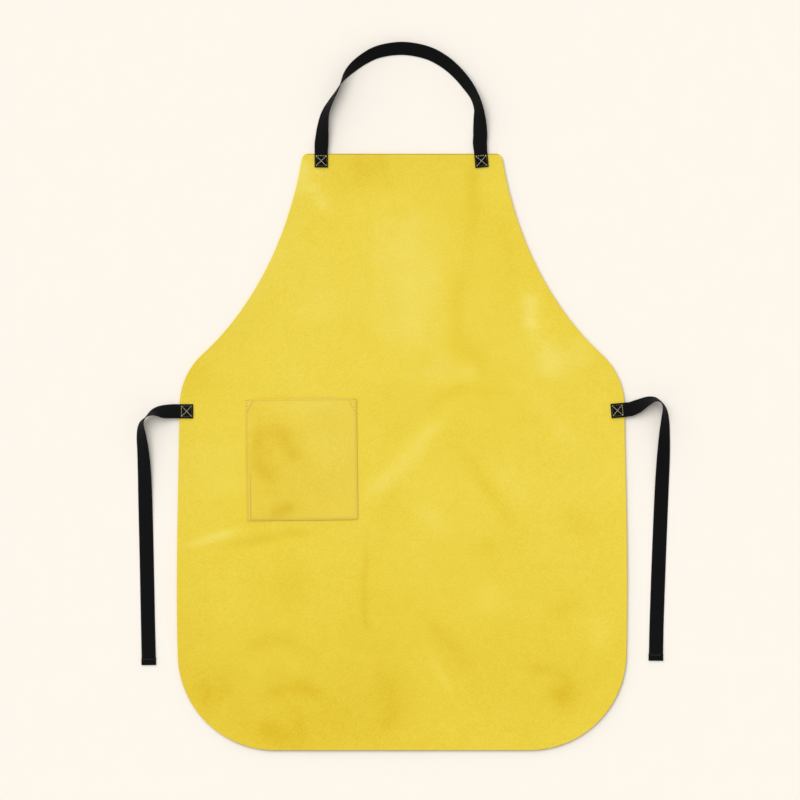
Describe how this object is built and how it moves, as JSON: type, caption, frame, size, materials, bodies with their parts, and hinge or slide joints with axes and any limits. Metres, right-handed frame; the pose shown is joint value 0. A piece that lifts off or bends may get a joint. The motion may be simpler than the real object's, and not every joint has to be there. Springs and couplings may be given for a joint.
{
  "type": "welding apron",
  "caption": "Leather bib apron for welding, with a sewn patch pocket, a webbing neck strap and two webbing waist ties.",
  "frame": {"origin": "on the floor under the middle of the hide panel, which lies on its back", "axes": "+Z out of the apron's front face, +Y from the hem towards the bib, +X to the right as seen from the front"},
  "size_m": [0.7143, 0.9484, 0.0226],
  "materials": {
    "leather": "yellow split cowhide with a fine suede nap and cloudy lighter and darker patches",
    "webbing": "black woven polypropylene webbing, matt, with a selvedge along each edge",
    "pale_thread": "pale cream sewing thread",
    "yellow_thread": "pale yellow sewing thread",
    "black_thread": "black sewing thread"
  },
  "bodies": {
    "root": {"apron_panel": "leather", "pocket": "leather", "pocket_seam_thread": "yellow_thread", "pocket_mouth_hem_thread": "yellow_thread", "neck_strap_left_sewn_end": "webbing", "neck_strap_left_box_stitch": "pale_thread", "neck_strap_left_arrow_stitch": "pale_thread", "neck_strap_right_sewn_end": "webbing", "neck_strap_right_box_stitch": "pale_thread", "neck_strap_right_arrow_stitch": "pale_thread", "left_waist_tie_sewn_end": "webbing", "left_waist_tie_box_stitch": "pale_thread", "right_waist_tie_sewn_end": "webbing", "right_waist_tie_box_stitch": "pale_thread"},
    "neck_strap": {"neck_strap": "webbing"},
    "left_waist_tie": {"left_waist_tie": "webbing", "left_waist_tie_hem_thread": "black_thread"},
    "right_waist_tie": {"right_waist_tie": "webbing", "right_waist_tie_hem_thread": "black_thread"}
  },
  "joints": [
    {"name": "neck_strap_swing", "type": "hinge", "parent": "root", "child": "neck_strap", "pos_m": [0, 0.4027, 0.0036], "axis": [1, 0, 0], "range_deg": [-110, 120]},
    {"name": "left_waist_tie_swing", "type": "hinge", "parent": "root", "child": "left_waist_tie", "pos_m": [-0.30125, 0.0547, 0.0036], "axis": [0, 1, 0], "range_deg": [-110, 120]},
    {"name": "right_waist_tie_swing", "type": "hinge", "parent": "root", "child": "right_waist_tie", "pos_m": [0.30125, 0.0565, 0.0036], "axis": [0, -1, 0], "range_deg": [-110, 120]}
  ]
}
